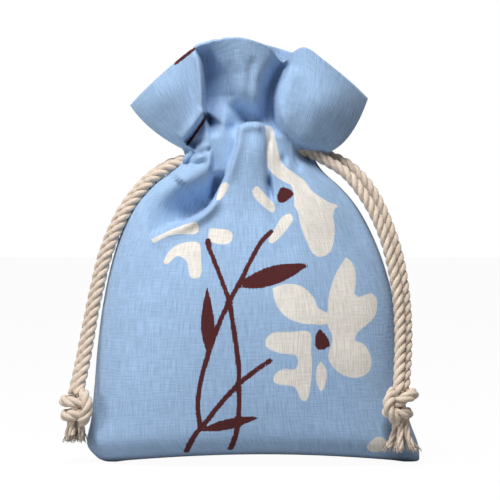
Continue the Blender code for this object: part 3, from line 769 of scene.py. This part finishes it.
def linen_material(settings):
    """Plain-woven linen with uneven threads."""
    material, tree, shader = new_material("printed_linen", tuple(settings.linen_blue), 0.9)
    place = add_node(tree, "ShaderNodeUVMap", uv_map="cloth").outputs[0]

    def threads(scale_x, scale_y, detail):
        mapped = add_node(tree, "ShaderNodeMapping", {"Vector": place, "Scale": (scale_x, scale_y, 1)})
        return add_node(tree, "ShaderNodeTexNoise", {
            "Vector": mapped.outputs[0], "Scale": 1.0, "Detail": detail, "Roughness": 0.6,
        }).outputs["Fac"]

    warp = threads(2500, 190, 1.0)
    warp = add_node(tree, "ShaderNodeMath", {0: warp, 1: 1.3}, operation="MULTIPLY").outputs[0]
    weft = threads(190, 2500, 1.0)
    both = add_node(tree, "ShaderNodeMath", {
        0: weft, 1: 0.7, 2: warp}, operation="MULTIPLY_ADD").outputs[0]
    patches = add_node(tree, "ShaderNodeTexNoise", {
        "Vector": place, "Scale": 60.0, "Detail": 3.0,
    }).outputs["Fac"]
    shade = add_node(tree, "ShaderNodeMapRange", {
        "Value": both, "From Min": 0.7, "From Max": 1.3, "To Min": 0.87, "To Max": 1.14,
    }).outputs[0]
    wide = add_node(tree, "ShaderNodeMapRange", {
        "Value": patches, "From Min": 0.3, "From Max": 0.7, "To Min": 0.96, "To Max": 1.04,
    }).outputs[0]
    level = add_node(tree, "ShaderNodeMath", {0: shade, 1: wide}, operation="MULTIPLY").outputs[0]
    ground = tuple(settings.linen_blue)
    cream = add_node(tree, "ShaderNodeAttribute", attribute_name="petals").outputs["Fac"]
    brown = add_node(tree, "ShaderNodeAttribute", attribute_name="stems").outputs["Fac"]
    ragged = add_node(tree, "ShaderNodeMapRange", {
        "Value": both, "From Min": 0.7, "From Max": 1.3, "To Min": -0.00012, "To Max": 0.00012,
    }).outputs[0]

    def inside(distance):
        near = add_node(tree, "ShaderNodeMath", {0: distance, 1: ragged}, operation="ADD").outputs[0]
        return add_node(tree, "ShaderNodeMapRange", {
            "Value": near, "From Min": 0.00010, "From Max": -0.00012, "To Min": 0.0, "To Max": 1.0,
        }, interpolation_type="SMOOTHSTEP").outputs[0]

    with_petals = add_node(tree, "ShaderNodeMix", {
        0: inside(cream), 6: ground, 7: tuple(settings.print_cream),
    }, data_type="RGBA").outputs[2]
    with_stems = add_node(tree, "ShaderNodeMix", {
        0: inside(brown), 6: with_petals, 7: tuple(settings.print_brown),
    }, data_type="RGBA").outputs[2]
    colour = add_node(tree, "ShaderNodeVectorMath", {0: with_stems}, operation="SCALE")
    tree.links.new(level, colour.inputs["Scale"])
    tree.links.new(colour.outputs[0], shader.inputs["Base Color"])
    bump = add_node(tree, "ShaderNodeBump", {
        "Height": both, "Strength": 0.5, "Distance": 0.00025,
    })
    tree.links.new(bump.outputs[0], shader.inputs["Normal"])
    shader.inputs["Sheen Weight"].default_value = 0.15
    shader.inputs["Sheen Roughness"].default_value = 0.5
    return material


def cotton_material(settings):
    """Soft cotton yarn, with its fine twist across each strand."""
    material, tree, shader = new_material("twisted_cotton", tuple(settings.cotton), 0.95)
    place = add_node(tree, "ShaderNodeUVMap", uv_map="cord").outputs[0]
    mapped = add_node(tree, "ShaderNodeMapping", {
        "Vector": place, "Scale": (5.0, 900.0, 1),
    })
    yarn = add_node(tree, "ShaderNodeTexNoise", {
        "Vector": mapped.outputs[0], "Scale": 1.0, "Detail": 3.0,
    }).outputs["Fac"]
    place3 = add_node(tree, "ShaderNodeTexCoord").outputs["Object"]
    soft = add_node(tree, "ShaderNodeTexNoise", {"Vector": place3, "Scale": 700.0, "Detail": 2.0})
    both = add_node(tree, "ShaderNodeMath", {0: yarn, 1: soft.outputs["Fac"]}, operation="ADD")
    level = add_node(tree, "ShaderNodeMapRange", {
        "Value": both.outputs[0], "From Min": 0.7, "From Max": 1.3, "To Min": 0.86, "To Max": 1.12,
    }).outputs[0]
    colour = add_node(tree, "ShaderNodeVectorMath", {0: tuple(settings.cotton)[:3]}, operation="SCALE")
    tree.links.new(level, colour.inputs["Scale"])
    tree.links.new(colour.outputs[0], shader.inputs["Base Color"])
    bump = add_node(tree, "ShaderNodeBump", {
        "Height": both.outputs[0], "Strength": 0.6, "Distance": 0.0003,
    })
    tree.links.new(bump.outputs[0], shader.inputs["Normal"])
    shader.inputs["Sheen Weight"].default_value = 0.3
    return material


def rope_shape(line, diameter, lay, sides=10, closed=False):
    """Three strands twisted round a line: points, faces and the corners' cord places."""
    line = np.asarray(line, dtype=float)
    count = len(line)
    tangent = np.gradient(line, axis=0)
    if closed:
        tangent = np.roll(line, -1, axis=0) - np.roll(line, 1, axis=0)
    tangent /= np.linalg.norm(tangent, axis=1, keepdims=True)
    along = np.concatenate([[0], np.cumsum(np.linalg.norm(np.diff(line, axis=0), axis=1))])
    guide = np.array([0.0, 0.0, 1.0]) if abs(tangent[0][2]) < 0.9 else np.array([1.0, 0.0, 0.0])
    normal = np.zeros_like(line)
    normal[0] = np.cross(np.cross(tangent[0], guide), tangent[0])
    for k in range(1, count):
        normal[k] = normal[k - 1] - tangent[k] * (normal[k - 1] @ tangent[k])
    normal /= np.linalg.norm(normal, axis=1, keepdims=True)
    binormal = np.cross(tangent, normal)
    strand_radius = diameter / 2 / (1 + 2 / math.sqrt(3)) * STRAND_SWELL
    centre_radius = diameter / 2 - strand_radius
    points, faces, places = [], [], []
    turn = np.linspace(0, 2 * math.pi, sides, endpoint=False)
    for strand in range(3):
        angle = 2 * math.pi * (strand / 3 + along / lay)
        out = np.cos(angle)[:, None] * normal + np.sin(angle)[:, None] * binormal
        centre = line + out * centre_radius
        way = np.gradient(centre, axis=0)
        way /= np.linalg.norm(way, axis=1, keepdims=True)
        side = np.cross(way, out)
        ring = (centre[:, None, :]
                + strand_radius * (np.cos(turn)[None, :, None] * out[:, None, :]
                                   + np.sin(turn)[None, :, None] * side[:, None, :]))
        first = len(points)
        points.extend(ring.reshape(-1, 3))
        last = count if closed else count - 1
        for k in range(last):
            for s in range(sides):
                t = (s + 1) % sides
                m = (k + 1) % count
                faces.append((first + k * sides + s, first + k * sides + t,
                              first + m * sides + t, first + m * sides + s))
                u0, u1 = s / sides, (s + 1) / sides
                v0, v1 = along[k], along[k] + (along[1] - along[0])
                places.extend(((u0, v0), (u1, v0), (u1, v1), (u0, v1)))
        if not closed:
            for row, flip in ((0, True), (count - 1, False)):
                ring_faces = [first + row * sides + s for s in range(sides)]
                faces.append(tuple(reversed(ring_faces)) if flip else tuple(ring_faces))
                places.extend([(0.5, along[row])] * sides)
    return points, faces, places


def rope_piece(name, shapes, material, replaced):
    """Adds one piece from several rope shapes, in place of the node it replaces."""
    points, faces, places = [], [], []
    for shape_points, shape_faces, shape_places in shapes:
        first = len(points)
        points.extend(shape_points)
        faces.extend(tuple(first + i for i in face) for face in shape_faces)
        places.extend(shape_places)
    piece = mesh_piece(name, points, faces, material, replaced)
    set_corner_uv(piece.data, "cord", places)
    return piece


def knot_piece(hand, settings, material):
    """Adds an overhand knot: turns of the cord round its two ends, and the cord that crosses them."""
    middle = np.array(KNOT_MIDDLE[hand])
    shapes = []
    for centre, (across, deep), tilt in KNOT_TURNS[hand]:
        angle = np.linspace(0, 2 * math.pi, KNOT_RING_POINTS, endpoint=False)
        x, y = across * np.cos(angle), deep * np.sin(angle)
        z = math.tan(math.radians(tilt)) * x
        ring = (middle + centre + np.stack([x, y, z], axis=1)) * MM
        length = float(np.linalg.norm(np.roll(ring, -1, axis=0) - ring, axis=1).sum())
        turns = round(length / settings.lay)
        shapes.append(rope_shape(ring, settings.diameter, length / turns, closed=True))
    crossing = even_line((middle + np.array(KNOT_CROSSING[hand])) * MM, KNOT_CROSSING_POINTS)
    shapes.append(rope_shape(crossing, settings.diameter, settings.lay))
    return rope_piece(f"{hand}_knot_turns", shapes, material, f"{hand}_knot")


def tail_piece(hand, material, rng):
    """Adds the cord's untwisted ends: yarns that hang from the knot, and a fringe of fine fibres."""
    x, y, _ = KNOT_MIDDLE[hand]
    top, foot, top_radius, foot_radius = TAILS[hand]
    shapes = []
    bend = foot + 0.45 * (top - foot)
    kinds = (
        (True, TAIL_YARNS, YARN_DIAMETER, YARN_LAY, 8), (False, TAIL_FIBRES, FIBRE_DIAMETER, FIBRE_LAY, 3))
    for is_yarn, count, thick, lay, sides in kinds:
        for k in range(count):
            angle = 2 * math.pi * (k + 0.6 * rng.random()) / TAIL_YARNS
            out = np.array([math.cos(angle), math.sin(angle)])
            spread = YARN_SPREAD if is_yarn else 0.35 + 0.75 * rng.random()
            end = foot + rng.uniform(-0.4, 1.2) + (0.6 if is_yarn else 0.0)
            stops = (
                (out * top_radius * 0.55, top + 1.0), (out * top_radius * 0.66, (top + bend) / 2),
                (out * top_radius * min(spread + 0.25, 1.0), bend), (out * foot_radius * spread, end),
            )
            line = [((x + place[0]) * MM, (y + place[1]) * MM, height * MM) for place, height in stops]
            shapes.append(rope_shape(even_line(line, TAIL_POINTS), thick, lay, sides))
    return rope_piece(f"{hand}_tail", shapes, material, f"{hand}_frayed_end")


def casing_line(hand):
    """The cord's way round the neck inside the casing, from its front exit to its back exit."""
    level = CORD_LEVELS[hand]
    reach = 0.18 if hand == "left" else 0.82
    end = 1.0 if hand == "left" else 0.0
    shares = np.linspace(reach, end, 10)
    straight = CASING_HALF_WIDTH - CASING_HALF_DEPTH
    length = 2 * straight + math.pi * CASING_HALF_DEPTH
    places = []
    for share in shares:
        along = share * length
        quarter = math.pi / 2 * CASING_HALF_DEPTH
        if along < quarter:
            angle, middle = along / CASING_HALF_DEPTH, -straight
        elif along > length - quarter:
            angle, middle = math.pi - (length - along) / CASING_HALF_DEPTH, straight
        else:
            angle, middle = math.pi / 2, along - quarter - straight
        places.append((middle - math.cos(angle) * CASING_HALF_DEPTH,
                       math.sin(angle) * CASING_HALF_DEPTH))
    front = [(x, -y, level) for x, y in places]
    back = [(x, y, level) for x, y in reversed(places)]
    return front + back[1:]


class POUCH_OT_drawcords(Operator):
    """Adds both drawcords as twisted ropes: two free strands and the stretch in the casing"""

    bl_idname = "pouch.drawcords"
    bl_label = "Add Drawcords"

    def execute(self, context):
        settings = context.scene.pouch_cord
        cotton = cotton_material(settings)
        strands = {
            "left": (LEFT_FRONT_STRAND, LEFT_BACK_STRAND),
            "right": (RIGHT_FRONT_STRAND, RIGHT_BACK_STRAND),
        }
        rng = np.random.default_rng(5)
        for hand, (front, back) in strands.items():
            node = f"{hand}_drawcord"
            ends = (knot_piece(hand, settings, cotton), tail_piece(hand, cotton, rng))
            for where, points in (("front", front), ("back", back)):
                free = even_line(points[EXIT_POINT:], PATH_POINTS)
                length = float(np.linalg.norm(np.diff(free, axis=0), axis=1).sum())
                line = even_line(free, round(length / ROPE_STEP))
                rope = rope_shape(line, settings.diameter, settings.lay)
                piece = rope_piece(f"{hand}_{where}_strand", (rope,), cotton, node)
            inner = list(front[:EXIT_POINT + 1][::-1]) + casing_line(hand) + list(back[:EXIT_POINT + 1])
            around = rope_shape(even_line(inner, 160), settings.diameter, settings.lay)
            rope_piece(f"{hand}_cord_in_casing", (around,), cotton, node)
        return {"FINISHED"}


class POUCH_OT_cloth(Operator):
    """Adds the pouch cloth: both panels, the ruffle and their folds, in printed linen"""

    bl_idname = "pouch.cloth"
    bl_label = "Add Cloth"

    def execute(self, context):
        settings = context.scene.pouch_cloth
        panels = cloth_panels()
        flats = flat_places(panels, settings)
        indices = cloth_indices()
        points = np.zeros((indices[BACK].max() + 1, 3))
        for side in (BACK, FRONT):
            points[indices[side].ravel()] = panels[side].reshape(-1, 3)
        seen, depth = seen_places(panels[FRONT], context.scene.pouch_stage)
        shapes = print_shapes(seen, depth, flats[FRONT])
        turned = flats[BACK] * (1, -1) + np.array(BACK_PRINT_SHIFT)
        turned[..., 0] -= 1.5 * settings.panel_width
        marks = {FRONT: print_marks(flats[FRONT], shapes), BACK: print_marks(turned, shapes)}
        faces, places, prints = cloth_faces(indices, flats, marks)
        linen = linen_material(settings)
        cloth = mesh_piece("pouch_linen", points, faces, linen, "pouch_cloth")
        set_corner_uv(cloth.data, "cloth", places)
        set_print(cloth.data, prints)
        add_thickness(cloth, settings.thickness)
        lining_piece(linen)
        return {"FINISHED"}


class POUCH_OT_stage(Operator):
    """Adds the pale floor, the soft lamps and the camera"""

    bl_idname = "pouch.stage"
    bl_label = "Add Stage"

    def execute(self, context):
        settings = context.scene.pouch_stage
        scene = context.scene
        bpy.ops.object.select_all(action="DESELECT")
        bpy.ops.mesh.primitive_plane_add(size=6.0)
        floor = context.object
        floor.name = "floor"
        material, tree, shader = new_material("floor_paper", (0.5, 0.5, 0.5, 1.0), 0.9)
        camera_ray = add_node(tree, "ShaderNodeLightPath").outputs["Is Camera Ray"]
        share = add_node(tree, "ShaderNodeMath", {0: camera_ray, 1: FLOOR_GLOW}, operation="MULTIPLY")
        glow = add_node(tree, "ShaderNodeEmission", {"Color": (1, 1, 1, 1), "Strength": 1.0})
        mix = add_node(tree, "ShaderNodeMixShader", {
            0: share.outputs[0], 1: shader.outputs[0], 2: glow.outputs[0]})
        tree.links.new(mix.outputs[0], tree.nodes["Material Output"].inputs["Surface"])
        paper = add_node(tree, "ShaderNodeMix", {
            0: camera_ray, 6: (FLOOR_GREY, FLOOR_GREY, FLOOR_GREY, 1), 7: (1, 1, 1, 1),
        }, data_type="RGBA")
        tree.links.new(paper.outputs[2], shader.inputs["Base Color"])
        floor.data.materials.append(material)

        world = bpy.data.worlds.new("studio")
        scene.world = world
        world.use_nodes = True
        sky = world.node_tree
        base = sky.nodes["Background"]
        base.inputs["Color"].default_value = (1, 1, 1, 1)
        base.inputs["Strength"].default_value = settings.sky_strength
        seen = add_node(sky, "ShaderNodeBackground", {"Color": (1, 1, 1, 1), "Strength": 1.0})
        rays = add_node(sky, "ShaderNodeLightPath")
        pick = add_node(sky, "ShaderNodeMixShader", {
            0: rays.outputs["Is Camera Ray"], 1: base.outputs[0], 2: seen.outputs[0]})
        sky.links.new(pick.outputs[0], sky.nodes["World Output"].inputs["Surface"])

        for name, power in (("key", settings.key_power), ("side", settings.side_power)):
            place, size = LAMPS[name]
            data = bpy.data.lights.new(name, "AREA")
            data.shape = "SQUARE"
            data.size = size
            data.energy = power
            lamp = bpy.data.objects.new(name, data)
            scene.collection.objects.link(lamp)
            lamp.location = place
            aim = Vector(LAMP_AIM) - lamp.location
            lamp.rotation_euler = aim.to_track_quat("-Z", "Y").to_euler()

        frame_width = PHOTO_SIZE * METRES_PER_PIXEL
        middle = Vector((0, 0, (PHOTO_FLOOR_Y - PHOTO_SIZE / 2) * METRES_PER_PIXEL))
        data = bpy.data.cameras.new("camera")
        data.sensor_width = 36.0
        data.lens = data.sensor_width * settings.camera_distance / frame_width
        data.clip_start = 0.01
        camera = bpy.data.objects.new("camera", data)
        scene.collection.objects.link(camera)
        way = Vector((0, -math.cos(settings.camera_rise), math.sin(settings.camera_rise)))
        camera.location = middle + way * settings.camera_distance
        camera.rotation_euler = (-way).to_track_quat("-Z", "Y").to_euler()
        scene.camera = camera
        scene.view_settings.view_transform = "Standard"
        return {"FINISHED"}


class POUCH_PT_sidebar(Panel):
    """Lists the pouch's pieces"""

    bl_idname = "POUCH_PT_sidebar"
    bl_label = "Drawstring Pouch"
    bl_space_type = "VIEW_3D"
    bl_region_type = "UI"
    bl_category = "Pouch"

    def draw(self, context):
        layout = self.layout
        for operator in (POUCH_OT_stage, POUCH_OT_drawcords, POUCH_OT_cloth):
            layout.operator(operator.bl_idname)
        for settings in (context.scene.pouch_cloth, context.scene.pouch_cord, context.scene.pouch_stage):
            box = layout.box()
            for name in settings.__annotations__:
                box.prop(settings, name)


CLASSES = (
    ClothSettings, CordSettings, StageSettings, POUCH_OT_stage, POUCH_OT_drawcords, POUCH_OT_cloth,
    POUCH_PT_sidebar,
)


def register():
    for kind in CLASSES:
        bpy.utils.register_class(kind)
    bpy.types.Scene.pouch_cloth = PointerProperty(type=ClothSettings)
    bpy.types.Scene.pouch_cord = PointerProperty(type=CordSettings)
    bpy.types.Scene.pouch_stage = PointerProperty(type=StageSettings)


def unregister():
    del bpy.types.Scene.pouch_stage
    del bpy.types.Scene.pouch_cord
    del bpy.types.Scene.pouch_cloth
    for kind in reversed(CLASSES):
        bpy.utils.unregister_class(kind)


def main():
    register()
    bpy.ops.pouch.stage()
    bpy.ops.pouch.drawcords()
    bpy.ops.pouch.cloth()


if __name__ == "__main__":
    main()
